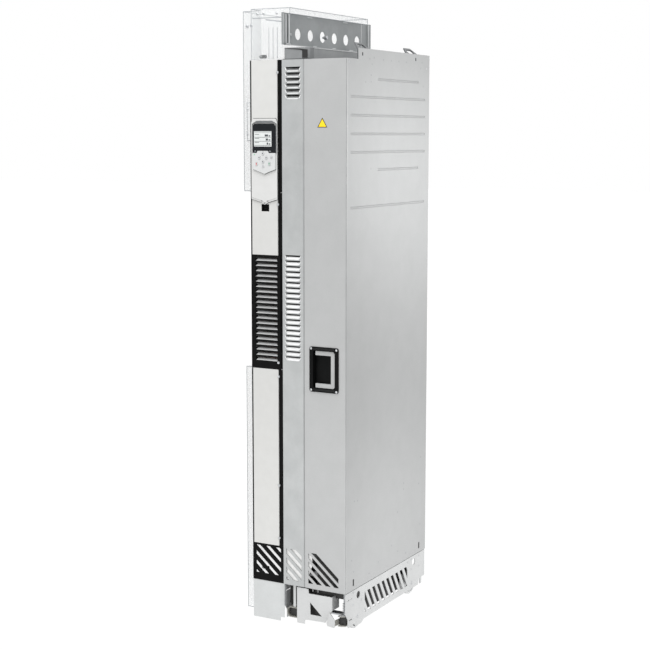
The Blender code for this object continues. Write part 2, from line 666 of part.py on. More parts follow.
def build_support_leg(look):
    """The anti-tip leg folded across the front right: an open channel with an arrow-shaped tip."""
    front, mouth, web = FRONT - 0.002, FRONT + 0.009, FRONT + 0.028
    low, high, end = 0.0200, 0.0440, 0.1660
    bend, relief = 0.1460, 0.0100
    tip_edge, tip_high = bend - 0.003, 0.0360
    tip = [(tip_edge, tip_high), (0.1270, 0.0560), (0.1170, 0.0260), (0.1200, 0.0175), (0.1400, 0.0150),
           (tip_edge, low)]
    bm = bmesh.new()
    fill(bm, on_front(front), tip)
    face(bm, (tip_edge, front, low), (bend, web, low), (bend, web, tip_high), (tip_edge, front, tip_high))
    fill(bm, on_front(web), [(bend, low), (end, low), (end, high), (bend, high), (bend, tip_high)])
    flange = [(bend, mouth), (end - relief, mouth), (end, mouth + relief / 2), (end, web), (bend, web)]
    for z in (low, high):
        fill(bm, on_floor(z), flange)
    return folded("support_leg", look, bm, (0, -1, 0), 0.0025, origin=(0.1600, FRONT + 0.021, 0.032))


def build_wheels(tread, steel):
    """Four plastic wheels on two through axles."""
    width, rim, hub = 0.022, 0.0025, 0.0120
    bore = AXLE_RADIUS + 0.0004
    profile = [(0, bore), (0, hub), (0.003, hub + 0.002), (0.003, WHEEL_RADIUS - 0.008),
               (0, WHEEL_RADIUS - 0.006), (0, WHEEL_RADIUS - rim), (rim, WHEEL_RADIUS)]
    profile += [(width - along, radius) for along, radius in reversed(profile)]
    starts = {"right": RIGHT - 0.0040 - width, "left": PEDESTAL_LEFT + 0.0040}
    for end, y in (("front", FRONT_AXLE_Y), ("rear", REAR_AXLE_Y)):
        for side, x in starts.items():
            turned(f"{end}_{side}_wheel", tread, profile, (x, y, WHEEL_RADIUS), (1, 0, 0))
        left, right = PEDESTAL_LEFT + 0.0024, RIGHT - 0.0024
        rod = [(0, 0), (0, AXLE_RADIUS), (right - left, AXLE_RADIUS), (right - left, 0)]
        turned(f"{end}_axle", steel, rod, (left, y, WHEEL_RADIUS), (1, 0, 0), 24)


# ---- inside ----

def build_busbars(look):
    """Three copper bars that run from the upper to the lower terminals."""
    for number, y in enumerate((-0.080, 0.040, 0.160), start=1):
        holes = [circle(y, z, 0.006, 16) for z in (0.32, 0.37, 1.36, 1.41)]
        plate(f"busbar_{number}", look, on_side(-0.080), rectangle(y - 0.025, y + 0.025, 0.29, 1.44),
              (0.006, 0, 0), holes)


def build_heat_sink(look):
    """A finned aluminium heat sink whose fins run upright."""
    left, width, base, fin_depth, fins = 0.004, 0.155, -0.030, 0.110, 13
    pitch = width / fins
    outline = [(left, base - 0.018), (left + width, base - 0.018)]
    for index in reversed(range(fins)):
        start = left + pitch * index
        outline += [(start + pitch, base), (start + pitch * 0.75, base + fin_depth),
                    (start + pitch * 0.45, base + fin_depth), (start + pitch * 0.2, base)]
    outline.append((left, base))
    plate("heat_sink", look, on_floor(0.62), outline, (0, 0, 0.52))


def build_capacitor_bank(look):
    """Six capacitor cans standing out of one insulating mounting plate."""
    mounting = rectangle(0.004, 0.160, 0.820, 1.200)
    bank = plate("capacitor_bank", look, on_front(-0.060), mounting, (0, 0.006, 0))
    for column, x in enumerate((0.044, 0.120)):
        for row in range(3):
            can = circle(x, 0.885 + 0.125 * row, 0.032, 24)
            join_to(bank, [plate(f"can_{column}_{row}", look, on_front(-0.160), can, (0, 0.103, 0))])


def build_control_board(look):
    """The control board behind the upper cover."""
    holes = [circle(x, z, 0.002, 12) for x in (-0.100, -0.040) for z in (1.06, 1.49)]
    outline = rectangle(-0.105, -0.035, 1.05, 1.50)
    plate("control_board", look, on_front(FRONT + 0.020), outline, (0, 0.0016, 0), holes)


def build_fan(housing_look, rotor_look):
    """The main cooling fan, blowing upwards through a square housing."""
    x, y, low, height, radius = 0.078, -0.010, 0.440, 0.060, 0.084
    outline = rectangle(x - 0.092, x + 0.092, y - 0.092, y + 0.092)
    plate("fan_housing", housing_look, on_floor(low), outline, (0, 0, height), [circle(x, y, radius, 40)])
    blades, hub, tip = 7, 0.030, radius - 0.003
    turn, twist = 2 * math.pi / blades, math.radians(26)
    rim = []
    for blade in range(blades):
        for share, reach in ((0.00, hub), (0.08, tip), (0.22, tip), (0.30, hub), (0.65, hub)):
            angle = turn * (blade + share)
            rim.append((x + reach * math.cos(angle), y + reach * math.sin(angle)))
    middle = (x, y, low + height / 2)
    rotor = plate("fan_rotor", rotor_look, on_floor(low + 0.010), rim, (0, 0, 0.040), origin=middle)
    for vert in rotor.data.vertices:
        if vert.co.z > 0:
            vert.co.rotate(Matrix.Rotation(twist, 3, "Z"))


def build():
    """Clear the scene and build every piece."""
    for leftover in list(bpy.data.objects):
        bpy.data.objects.remove(leftover)
    look = looks()
    build_casing_shell(look["casing"])
    build_vent_strip(look["galvanised"])
    build_walls(look["casing"], look["dark_zinc"])
    build_lifting_bracket("front_lifting_bracket", look["galvanised"], -0.1340)
    build_lifting_bracket("rear_lifting_bracket", look["galvanised"], 0.1570)
    build_top_bracket(look["dark_zinc"])
    build_gland_plate(look["dark_zinc"])
    build_control_frame(look["black"])
    build_covers(look["white"], look["black"])
    build_cover_screws(look["screw"])
    build_platform(look["white"])
    build_panel(look)
    build_skirt(look["galvanised"])
    build_handle(look["black"], look["grip"])
    build_upper_shroud(look["clear"])
    build_lower_shroud(look["clear"])
    build_pedestal_sides(look["pedestal"])
    build_pedestal_front(look["pedestal"])
    build_pedestal_rear(look["dark_zinc"])
    build_left_bracket(look["dark_zinc"])
    build_support_leg(look["dark_zinc"])
    build_wheels(look["wheel"], look["screw"])
    build_busbars(look["copper"])
    build_heat_sink(look["aluminium"])
    build_capacitor_bank(look["capacitor"])
    build_control_board(look["board"])
    build_fan(look["dark_zinc"], look["fan"])


build()
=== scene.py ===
"""A slim floor-standing frequency converter module on a wheeled pedestal.

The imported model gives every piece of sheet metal, plastic and copper its shape and place.
This script follows the module as it is put together, and gives each piece its finish and
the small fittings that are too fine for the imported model.
"""

import math

import bmesh
import bpy
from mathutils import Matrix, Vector


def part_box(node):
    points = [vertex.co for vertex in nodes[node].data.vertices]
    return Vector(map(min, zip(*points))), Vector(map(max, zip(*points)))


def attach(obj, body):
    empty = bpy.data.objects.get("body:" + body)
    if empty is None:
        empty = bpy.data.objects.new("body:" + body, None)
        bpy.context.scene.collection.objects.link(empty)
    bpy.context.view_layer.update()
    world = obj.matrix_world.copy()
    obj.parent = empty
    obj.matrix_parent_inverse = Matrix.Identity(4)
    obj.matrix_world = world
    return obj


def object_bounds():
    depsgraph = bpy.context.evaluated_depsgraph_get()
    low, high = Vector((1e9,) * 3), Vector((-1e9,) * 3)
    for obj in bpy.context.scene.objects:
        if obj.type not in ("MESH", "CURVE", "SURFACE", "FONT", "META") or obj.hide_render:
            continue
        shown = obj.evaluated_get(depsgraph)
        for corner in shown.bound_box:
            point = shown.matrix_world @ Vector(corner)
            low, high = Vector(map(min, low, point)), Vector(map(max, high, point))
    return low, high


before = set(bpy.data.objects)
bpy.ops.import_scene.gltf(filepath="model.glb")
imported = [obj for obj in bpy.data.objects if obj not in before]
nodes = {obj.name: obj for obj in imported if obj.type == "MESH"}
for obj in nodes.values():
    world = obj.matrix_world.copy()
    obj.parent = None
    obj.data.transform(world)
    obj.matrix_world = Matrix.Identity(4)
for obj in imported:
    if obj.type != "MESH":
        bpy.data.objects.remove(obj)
cad_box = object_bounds()


# ---- Camera ----
# A standing adult's view from the front right, about four metres away, with a long lens so
# that the tall sides stay nearly parallel.
camera = bpy.data.objects.new("camera", bpy.data.cameras.new("camera"))
camera.data.lens = 79.41
camera.location = (1.9383, -3.5194, 1.3338)
turn_left, look_down = math.radians(29.152), math.radians(7.512)
camera.rotation_euler = (math.radians(90) - look_down, 0, turn_left)
bpy.context.scene.collection.objects.link(camera)
bpy.context.scene.camera = camera
bpy.context.scene.view_settings.view_transform = "Standard"


# ---- Casing ----
# Zinc-iron coated sheet steel, 1.5 mm, folded once so that the wide front plate and the whole
# right side are one piece, with long stiffening grooves. It is riveted to the frames inside.

def linear(hex_colour):
    """An sRGB hex colour as the linear values that shaders use."""
    parts = [int(hex_colour[i:i + 2], 16) / 255 for i in (1, 3, 5)]
    return (*[p / 12.92 if p <= 0.04045 else ((p + 0.055) / 1.055) ** 2.4 for p in parts], 1.0)


def add(tree, kind, links=(), **settings):
    """Add a node; settings are its properties or input values, and links feed its inputs."""
    made = tree.nodes.new(kind)
    for name, value in settings.items():
        if name[0].islower():
            setattr(made, name, value)
        else:
            made.inputs[name.replace("_", " ")].default_value = value
    for socket, source in dict(links).items():
        tree.links.new(source, made.inputs[socket])
    return made


def start_material(name, **values):
    """A new material, its node tree and its shader, with the shader's plain values set."""
    material = bpy.data.materials.new(name)
    material.use_nodes = True
    tree = material.node_tree
    shader = tree.nodes["Principled BSDF"]
    for socket, value in values.items():
        shader.inputs[socket.replace("_", " ")].default_value = value
    return material, tree, shader


def grained(material, tree, shader, dark, light, roughness, grain_mm, cloud_mm, depth_mm,
            stretch=(1, 1, 1)):
    """Tone from cloudy patches, and gloss and relief from a finer grain, all in millimetres."""
    place = add(tree, "ShaderNodeTexCoord")
    scaled = add(tree, "ShaderNodeVectorMath", {0: place.outputs["Object"]}, operation="MULTIPLY")
    scaled.inputs[1].default_value = [1000.0 * share for share in stretch]
    where = {"Vector": scaled.outputs["Vector"]}
    cloud = add(tree, "ShaderNodeTexNoise", where, Scale=1 / cloud_mm, Detail=4.0, Roughness=0.6)
    grain = add(tree, "ShaderNodeTexNoise", where, Scale=1 / grain_mm, Detail=2.0)
    tone = add(tree, "ShaderNodeValToRGB", {"Fac": cloud.outputs["Fac"]})
    low, high = tone.color_ramp.elements
    low.position, low.color = 0.35, linear(dark)
    high.position, high.color = 0.65, linear(light)
    tree.links.new(tone.outputs["Color"], shader.inputs["Base Color"])
    swing = 0.06
    gloss = add(tree, "ShaderNodeMapRange", {"Value": grain.outputs["Fac"]},
                To_Min=roughness - swing, To_Max=roughness + swing)
    tree.links.new(gloss.outputs["Result"], shader.inputs["Roughness"])
    relief = add(tree, "ShaderNodeBump", {"Height": grain.outputs["Fac"]},
                 Strength=0.25, Distance=depth_mm / 1000)
    tree.links.new(relief.outputs["Normal"], shader.inputs["Normal"])
    return material


def zinc_sheet(name, dark, light, metallic, roughness, spangle_mm):
    """Zinc-coated steel: crystals of nearly the same grey, under a fine pickled grain.

    The real grain is near 0.1 mm and too fine to show, so it is drawn as coarse as it has to be.
    """
    grain_mm, cloud_mm, depth_mm = 0.8, 60, 0.02
    material, tree, shader = start_material(name, Metallic=metallic)
    grained(material, tree, shader, dark, light, roughness, grain_mm, cloud_mm, depth_mm)
    place = tree.nodes["Vector Math"].outputs["Vector"]
    crystals = add(tree, "ShaderNodeTexVoronoi", {"Vector": place}, Scale=1 / spangle_mm)
    facet = add(tree, "ShaderNodeRGBToBW", {"Color": crystals.outputs["Color"]})
    shade = add(tree, "ShaderNodeMapRange", {"Value": facet.outputs["Val"]}, To_Min=0.965, To_Max=1.0)
    cloud = tree.nodes["Color Ramp"].outputs["Color"]
    mixed = add(tree, "ShaderNodeVectorMath", {0: cloud, 1: shade.outputs["Result"]}, operation="MULTIPLY")
    tree.links.new(mixed.outputs["Vector"], shader.inputs["Base Color"])
    return material


def coated(name, dark, light, roughness, grain_mm, cloud_mm, depth_mm):
    """Paint, ink, film, lens or board: no metal in it, and only the faintest change of tone."""
    started = start_material(name, IOR=1.5)
    return grained(*started, dark, light, roughness, grain_mm, cloud_mm, depth_mm)


def finish(material, *names):
    """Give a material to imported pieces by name."""
    for name in names:
        nodes[name].data.materials.clear()
        nodes[name].data.materials.append(material)


def piece(name, bm, material, body="module"):
    """Turn a finished mesh into a piece that rides on a body and takes its finish from a slot."""
    bmesh.ops.recalc_face_normals(bm, faces=bm.faces)
    mesh = bpy.data.meshes.new(name)
    bm.to_mesh(mesh)
    bm.free()
    mesh.materials.append(material)
    made = bpy.data.objects.new(name, mesh)
    bpy.context.scene.collection.objects.link(made)
    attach(made, body)


def turned(bm, centre, axis, profile, sides=20):
    """A round solid from a profile of (distance along the axis, radius).

    The profile runs from the middle to the foot. One that starts off the axis makes a ring.
    """
    spin = Vector((0, 0, 1)).rotation_difference(Vector(axis)).to_matrix()
    rings = []
    for out, radius in profile:
        angles = [2 * math.pi * i / sides for i in range(sides if radius > 0 else 1)]
        points = [Vector((radius * math.cos(a), radius * math.sin(a), out)) for a in angles]
        rings.append([bm.verts.new(Vector(centre) + spin @ point) for point in points])
    hollow = len(rings[0]) > 1
    following = rings[1:] + rings[:1] if hollow else rings[1:]
    for ring, after in zip(rings, following):
        for i in range(sides):
            j = (i + 1) % sides
            near = (ring[i % len(ring)], ring[j % len(ring)])
            far = (after[j % len(after)], after[i % len(after)])
            bm.faces.new(list(dict.fromkeys(near + far)))
    if not hollow:
        bm.faces.new(rings[-1])


def slab(bm, outline, step):
    """A solid between a flat outline and the same outline moved by a step."""
    first = [bm.verts.new(point) for point in outline]
    second = [bm.verts.new(Vector(point) + Vector(step)) for point in outline]
    bm.faces.new(first)
    bm.faces.new(second[::-1])
    for i, start in enumerate(first):
        j = (i + 1) % len(first)
        bm.faces.new((start, first[j], second[j], second[i]))


def front_slab(bm, outline, y, depth):
    """A slab whose outline is seen from the front, from y back by a depth."""
    slab(bm, [(x, y, z) for x, z in outline], (0, depth, 0))


def side_slab(bm, outline, x, depth):
    """A slab whose outline is seen from the right, from x to the right by a depth."""
    slab(bm, [(x, y, z) for y, z in outline], (depth, 0, 0))


def rectangle(left, right, low, high):
    """Four corners of an upright rectangle."""
    return [(left, low), (right, low), (right, high), (left, high)]


def seam(bm, path, width, y, depth, closed=False):
    """A flat line of even width that follows a path seen from the front."""
    points = [Vector(point) for point in path]
    pairs = list(zip(points, points[1:] + points[:1]))
    for start, end in pairs if closed else pairs[:-1]:
        across = (end - start).orthogonal().normalized() * width / 2
        run = (end - start).normalized() * width / 2
        corners = (start - run - across, end + run - across, end + run + across, start - run + across)
        front_slab(bm, corners, y, depth)


def screw_head(bm, centre, axis, radius):
    """A low domed head with a socket in it, drawn in shares of its height and radius."""
    height = radius * 0.45
    socket = [(height * 0.35, 0), (height * 0.35, radius * 0.34), (height, radius * 0.40)]
    dome = [(height * 0.92, radius * 0.66), (height * 0.55, radius * 0.93), (0, radius)]
    turned(bm, centre, axis, socket + dome)


# Marks level with a sheet stand this far out of it, the thickness of a coat of paint, so that
# they show and hardly widen the module.
PAINT = 0.00006


def flush_head(bm, centre, axis, radius):
    """The rim of a countersunk screw or blind rivet that lies level with its sheet."""
    rim = [(-PAINT, radius * 0.35), (PAINT, radius * 0.45), (PAINT, radius), (-PAINT, radius)]
    turned(bm, centre, axis, rim, sides=14)


# Pale and softly shiny: cloudy greys a shade apart, with hardly any mirror in them.
casing_sheet = zinc_sheet("zinc_iron_coated_steel", "#A6A7A7", "#A9AAAA", 0.30, 0.50, 2.0)
finish(casing_sheet, "casing_shell", "rear_panel", "left_side_panel")
front_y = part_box("casing_shell")[0].y
right_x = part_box("casing_shell")[1].x
RIGHTWARDS, LEFTWARDS, UPWARDS = (1, 0, 0), (-1, 0, 0), (0, 0, 1)
FORWARDS, BACKWARDS = (0, -1, 0), (0, 1, 0)

# Dull aluminium draws each rivet as a faint ring, a little darker than the sheet. The rivets
# sit in a row along the top edge, in its corners, and over the brackets at the foot.
rivet_started = start_material("aluminium_rivet", Metallic=0.6)
rivet_aluminium = grained(*rivet_started, "#8C8E90", "#96989A", 0.40, 0.5, 3, 0.01)
RIVET_RADIUS = 0.0024
top_row = [(-0.0358 + 0.0463 * i, 1.5355) for i in range(4)]
top_corners = [(-0.0905, 1.5389), (-0.1161, 1.5352), (-0.1019, 1.5211), (0.2044, 1.5388),
               (0.1961, 1.5227), (-0.1076, 1.4929), (-0.1076, 1.4756), (-0.1386, 1.4741),
               (0.2133, 1.4724), (-0.1068, 1.2471)]
over_brackets = [(0.2185, 0.3995), (0.1060, 0.3444), (0.2062, 0.3223), (0.1060, 0.3270),
                 (0.0673, 0.2683), (0.2169, 0.1983), (-0.1956, 0.3593), (-0.1777, 0.3570),
                 (0.0304, 0.1793), (0.0701, 0.1526), (-0.2111, 0.1986), (-0.0532, 0.1532),
                 (-0.1995, 0.1652), (-0.1083, 0.1356), (0.1217, 0.1347)]
rivets = bmesh.new()
for y, z in top_row + top_corners + over_brackets:
    flush_head(rivets, (right_x, y, z), RIGHTWARDS, RIVET_RADIUS)
piece("side_rivets", rivets, rivet_aluminium)

# A fine darker line along the fold between front and side is painted shade, where the bend turns away from
# the light.
burnished = zinc_sheet("painted_fold_shade_steel", "#7E8080", "#8E9090", 0.35, 0.45, 1.5)
FOLD_FOOT, FOLD_LENGTH = 0.1150, 1.4160
fold_front, fold_side = (0.17325, -0.24268), (0.17405, -0.24188)
proud = PAINT * math.sqrt(0.5)
fold_mark = bmesh.new()
outside = [(x + proud, y - proud, FOLD_FOOT) for x, y in (fold_front, fold_side)]
inside = [(x - proud, y + proud, FOLD_FOOT) for x, y in (fold_side, fold_front)]
slab(fold_mark, outside + inside, (0, 0, FOLD_LENGTH))
piece("casing_fold_painted_shade", fold_mark, burnished)

# Two upright slots at the foot of the side and two near its top open on the unlit inside. The near-black
# patches over them are painted shade.
slot_shade = coated("painted_slot_shade", "#151515", "#1B1B1B", 0.7, 0.5, 5, 0.01)
side_slots = bmesh.new()
for low, high, half_width, places in ((0.1255, 0.1440, 0.0035, (-0.2005, 0.2105)),
                                      (1.5415, 1.5500, 0.0028, (-0.1565, 0.1635))):
    for y in places:
        slot_outline = rectangle(y - half_width, y + half_width, low, high)
        side_slab(side_slots, slot_outline, right_x - PAINT, 2 * PAINT)
piece("side_slot_painted_shade", side_slots, slot_shade)

# Bright plating gives every screw a small hard glint.
plating_started = start_material("zinc_plated_screw_steel", Metallic=0.9)
zinc_plated = grained(*plating_started, "#A9ABAD", "#C6C8CA", 0.30, 0.5, 3, 0.01)
corner_screws = bmesh.new()
for y in (-0.2315, 0.2362):
    flush_head(corner_screws, (right_x, y, 1.5228), RIGHTWARDS, 0.0034)
piece("casing_corner_screws", corner_screws, zinc_plated)

# The rear panel has eight flush screws down each edge, and the left panel has three domed ones
# along its top and three along its foot.
panel_screws = bmesh.new()
PANEL_SCREW, REAR_INSET, SIDE_INSET = 0.0035, 0.012, 0.015
FIRST_SCREW, SCREW_PITCH = 0.16, 0.194
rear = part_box("rear_panel")
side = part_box("left_side_panel")
for i in range(8):
    height = FIRST_SCREW + i * SCREW_PITCH
    for x in (rear[0].x + REAR_INSET, rear[1].x - REAR_INSET):
        flush_head(panel_screws, (x, cad_box[1].y, height), BACKWARDS, PANEL_SCREW)
for y in (side[0].y + SIDE_INSET, 0.0, side[1].y - SIDE_INSET):
    for z in (side[0].z + SIDE_INSET, side[1].z - SIDE_INSET):
        screw_head(panel_screws, (side[0].x, y, z), LEFTWARDS, PANEL_SCREW)
piece("rear_and_left_panel_screws", panel_screws, zinc_plated)


# ---- Vent strip, skirt and lifting straps ----
# Galvanised sheet, pressed with louvres and cut with slots, between the control strip and the
# casing. A pale baffle behind the slots at the foot keeps fingers and dripping water out.

# Shinier and more varied in tone than the casing, with a coarser spangle.
galvanised_sheet = zinc_sheet("hot_dip_galvanised_steel", "#A3A5A5", "#ABADAD", 0.40, 0.45, 3.5)
finish(galvanised_sheet, "vent_strip")
# The straps are a dark satin grey against the pale roof.
strap_steel = zinc_sheet("black_passivated_steel", "#5E6062", "#6C6E70", 0.60, 0.35, 2.0)
finish(strap_steel, "front_lifting_bracket", "rear_lifting_bracket")
# Light rolling after the zinc bath leaves the skirt the palest and evenest sheet.
skirt_sheet = zinc_sheet("skin_passed_galvanised_steel", "#B8BABA", "#BDBFBF", 0.25, 0.50, 2.5)
finish(skirt_sheet, "skirt_plate")

# Each louvre is a trapezium. Plain corners narrow it downwards. Its rim and, in the lower bank, its whole lip
# are coloured near white as a painted highlight, because they face the light.
rolled_rim = zinc_sheet("louvre_painted_highlight", "#DADBDB", "#E0E1E1", 0.15, 0.40, 3.0)
strip_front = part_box("vent_strip")[0].y
louvre_corners, louvre_rims, louvre_lips = bmesh.new(), bmesh.new(), bmesh.new()
VENT_PITCH, VENT_HEIGHT, SHOULDER, THIN_SHEET = 0.0143, 0.0118, 0.0052, 0.0012
upper_bank = (-0.009, 0.0385, 1.5128, 6, 0.0020, 0.0)
lower_bank = (-0.011, 0.0380, 1.0195, 20, 0.0016, 0.0070)
for left, right, top_z, count, rim_width, lip_height in (upper_bank, lower_bank):
    for i in range(count):
        high = top_z - VENT_PITCH * i
        low = high - VENT_HEIGHT
        for edge, inward in ((left, 1), (right, -1)):
            corner = [(edge, low), (edge + inward * SHOULDER, low), (edge, high - 0.0015)]
            front_slab(louvre_corners, corner, strip_front, THIN_SHEET)
        rim = [(left + 0.0006, high - 0.0020), (left + SHOULDER, low + 0.0008),
               (right - SHOULDER, low + 0.0008), (right - 0.0006, high - 0.0020)]
        for start, end in zip(rim, rim[1:]):
            seam(louvre_rims, [start, end], rim_width, strip_front - 0.0004, 0.0010)
        if lip_height:
            lip = [(left + SHOULDER, low), (right - SHOULDER, low),
                   (right - 0.0020, low + lip_height), (left + 0.0020, low + lip_height)]
            leaning = [(x, strip_front + 0.0002 + (z - low) * 0.5, z) for x, z in lip]
            slab(louvre_lips, leaning, (0, 0.0006, 0.0003))
piece("louvre_corners", louvre_corners, galvanised_sheet)
piece("louvre_rims", louvre_rims, rolled_rim)
piece("louvre_lips", louvre_lips, rolled_rim)

# Matt white powder coat, which brightens the slots at the foot.
baffle_paint = coated("white_powder_coat", "#DEDEDD", "#E4E4E3", 0.5, 0.5, 30, 0.03)
baffle_outline = [(-0.0165, 0.118), (0.0480, 0.118), (0.0690, 0.175), (0.0690, 0.232), (-0.0165, 0.232)]
baffle = bmesh.new()
front_slab(baffle, baffle_outline, front_y + 0.0040, THIN_SHEET)
piece("foot_baffle", baffle, baffle_paint)


# ---- Gland plate, roof block and inner walls ----
# Thicker galvanised plate, left dull. The gland plate has rolled beads at its ends, a
# thumbscrew between the middle holes, and small tabs that hook into the roof.

# Mid grey and matt, with a coarse spangle, and darker than the casing.
dull_plate = zinc_sheet("dull_galvanised_plate", "#828586", "#8C8F90", 0.40, 0.50, 4.0)
finish(dull_plate, "gland_plate", "top_plate")
# The inner wall is seen through the clear shrouds, and is only a little darker than the casing.
inner_plate = zinc_sheet("inner_galvanised_plate", "#9C9E9F", "#A5A7A8", 0.35, 0.50, 3.0)
finish(inner_plate, "divider_wall")
# The roof bracket is dull, and darker than the vent strip under it.
bracket_plate = zinc_sheet("dull_bracket_plate", "#7C7E7F", "#858788", 0.35, 0.50, 3.0)
finish(bracket_plate, "top_bracket")
# The floor pan, rear beam and fan housing are coloured near black as painted shade, so that the unlit parts
# under and inside the module show dark through the slots.
shaded_plate = zinc_sheet("painted_shade_zinc_plate", "#3B3C3C", "#454646", 0.40, 0.55, 3.0)
finish(shaded_plate, "floor_pan", "pedestal_rear_beam", "fan_housing")

# Beads and tabs are paler than their plate: a painted highlight where their rounded edges catch the light.
bead_steel = zinc_sheet("bead_painted_highlight_steel", "#B5B7B8", "#BDBFC0", 0.30, 0.45, 3.0)
gland_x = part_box("gland_plate")[1].x
gland_low, gland_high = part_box("gland_plate")[0].z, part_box("gland_plate")[1].z
on_plate = gland_x + 0.0001
half_turn = [math.radians(30 * i - 90) for i in range(7)]
beads = bmesh.new()
for y, radius in ((-0.2405, 0.0013), (-0.2295, 0.0020), (-0.2135, 0.0026),
                  (0.1930, 0.0014), (0.2385, 0.0018)):
    section = [(on_plate + math.cos(a) * radius * 0.8, y + math.sin(a) * radius, gland_low + 0.005)
               for a in half_turn]
    slab(beads, section, (0, 0, gland_high - gland_low - 0.008))
piece("gland_plate_beads", beads, bead_steel)

plate_marks = bmesh.new()
for y in (-0.1040, 0.0970):
    ridge = [(y - 0.014, 1.6480), (y + 0.014, 1.6480), (y + 0.010, 1.6500), (y - 0.010, 1.6500)]
    side_slab(plate_marks, ridge, on_plate, 0.0012)
for y in (-0.2200, -0.0800, 0.0290, 0.1300):
    tab_foot, tab_head = gland_low + 0.0010, gland_low + 0.0040
    tab = [(y - 0.009, tab_foot), (y + 0.009, tab_foot), (y + 0.007, tab_head), (y - 0.007, tab_head)]
    side_slab(plate_marks, tab, on_plate, 0.0040)
side_slab(plate_marks, rectangle(-0.2320, 0.2350, gland_low, gland_low + 0.0012), on_plate, 0.0030)
piece("gland_plate_tabs", plate_marks, bead_steel)

# A matt black sliver is painted shade for the deep gap between the roof block and the bracket over it.
block_nylon = coated("painted_gap_shade_black", "#101010", "#161616", 0.6, 0.5, 8, 0.03)
block_outline = [(0.0430, 1.5350), (0.0590, 1.5350), (0.0590, 1.5560), (0.0360, 1.5590),
                 (-0.0080, 1.5615), (-0.0080, 1.5608), (0.0360, 1.5560), (0.0430, 1.5540)]
bracket_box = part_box("top_bracket")
block = bmesh.new()
front_slab(block, block_outline, bracket_box[0].y - 0.0010, 0.0009)
piece("roof_block_shadow_gap", block, block_nylon)

gland_screws = bmesh.new()
screw_head(gland_screws, (gland_x, -0.2044, 1.5985), RIGHTWARDS, 0.0042)
thumb_knob = [(0.0150, 0), (0.0150, 0.0045), (0.0140, 0.0055), (0.0060, 0.0055)]
thumb_shank = [(0.0055, 0.0030), (0, 0.0030)]
turned(gland_screws, (gland_x, -0.0330, 1.6000), RIGHTWARDS, thumb_knob + thumb_shank)
piece("gland_plate_screws", gland_screws, zinc_plated)


# ---- Pedestal ----
# Zinc-coated plate, 2 mm, laser cut and bolted together, with the wheels' axles through it.
# Behind the front plate are a post, a cross member and the sprung pin that the leg turns on.

# Pale and even, because the pedestal's plates are new and thinly coated.
pedestal_sheet = zinc_sheet("laser_cut_zinc_plate", "#B5B6B6", "#BBBCBC", 0.20, 0.50, 2.5)
finish(pedestal_sheet, "pedestal_right_side", "pedestal_front_plate")
finish(inner_plate, "pedestal_left_side")
# The yellow passivation leaves only a faint warmth in the grey.
leg_steel = zinc_sheet("yellow_chromate_steel", "#8F8E88", "#A09F99", 0.45, 0.45, 3.0)
finish(leg_steel, "left_leg_bracket", "support_leg")

leg_tip = [(0.1430, 0.0360), (0.1270, 0.0560), (0.1170, 0.0260),
           (0.1200, 0.0175), (0.1400, 0.0150), (0.1430, 0.0200)]
leg_head = [(0.1462, -0.2348), (0.1560, -0.2348), (0.1655, -0.2298), (0.1655, -0.2160), (0.1462, -0.2160)]
leg_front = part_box("support_leg")[0].y
leg_face = bmesh.new()
front_slab(leg_face, leg_tip, leg_front - 0.0006, 0.0005)
slab(leg_face, [(x, y, 0.0467) for x, y in leg_head], (0, 0, 0.0006))
piece("leg_cover_face", leg_face, pedestal_sheet, "support_leg")

# Near-black boards behind the cut-outs are painted shade, and show them as shaded openings.
dark_board = coated("painted_shade_black_board", "#20201F", "#2B2B2A", 0.6, 0.6, 8, 0.05)
leg_lining = bmesh.new()
front_slab(leg_lining, rectangle(0.1470, 0.1655, 0.0212, 0.0428), -0.2262, 0.0035)
piece("leg_lining", leg_lining, dark_board, "support_leg")

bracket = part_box("left_leg_bracket")
bracket_opening = rectangle(bracket[0].x + 0.0045, bracket[1].x, bracket[0].z + 0.0040, bracket[1].z - 0.0040)
bracket_lining = bmesh.new()
front_slab(bracket_lining, bracket_opening, bracket[0].y + 0.0100, 0.0030)
piece("bracket_lining", bracket_lining, dark_board)

# More boards inside the pedestal, and a thin patch on its right side near the front, are painted shade as
# well.
pedestal_inside = bmesh.new()
for outline, setback, thickness in ((rectangle(-0.0145, 0.0210, 0.0520, 0.1120), 0.030, 0.002),
                                    (rectangle(0.0240, 0.1710, 0.0900, 0.1130), 0.0240, 0.002),
                                    (rectangle(0.0240, 0.1120, 0.0250, 0.0890), 0.0240, 0.002),
                                    (rectangle(0.0800, 0.1700, 0.1240, 0.2150), 0.0140, 0.0012)):
    front_slab(pedestal_inside, outline, front_y + setback, thickness)
side_slab(pedestal_inside, rectangle(-0.1370, 0.2150, 0.0150, 0.1120), 0.1400, 0.0015)
side_slab(pedestal_inside, rectangle(-0.1960, -0.1560, 0.0780, 0.1120), 0.1725, 0.0003)
piece("pedestal_painted_shade", pedestal_inside, dark_board)

# The post is a folded angle, and two short lugs hang from the cross member.
POST_FOOT, POST_HEIGHT, BAR_LOW, BAR_HIGH, LUG_WIDTH = 0.0515, 0.0610, 0.1085, 0.1105, 0.0025
angle = [(0.0090, 0.006), (0.0167, 0.006), (0.0167, 0.0075),
         (0.0105, 0.0075), (0.0105, 0.016), (0.0090, 0.016)]
post = bmesh.new()
slab(post, [(x, front_y + back, POST_FOOT) for x, back in angle], (0, 0, POST_HEIGHT))
front_slab(post, rectangle(-0.0140, 0.1710, BAR_LOW, BAR_HIGH), front_y + 0.0125, 0.0100)
for left in (0.0620, 0.0780):
    front_slab(post, rectangle(left, left + LUG_WIDTH, 0.0990, BAR_LOW), front_y + 0.0180, 0.0015)
piece("pedestal_post_and_crossbar", post, pedestal_sheet)

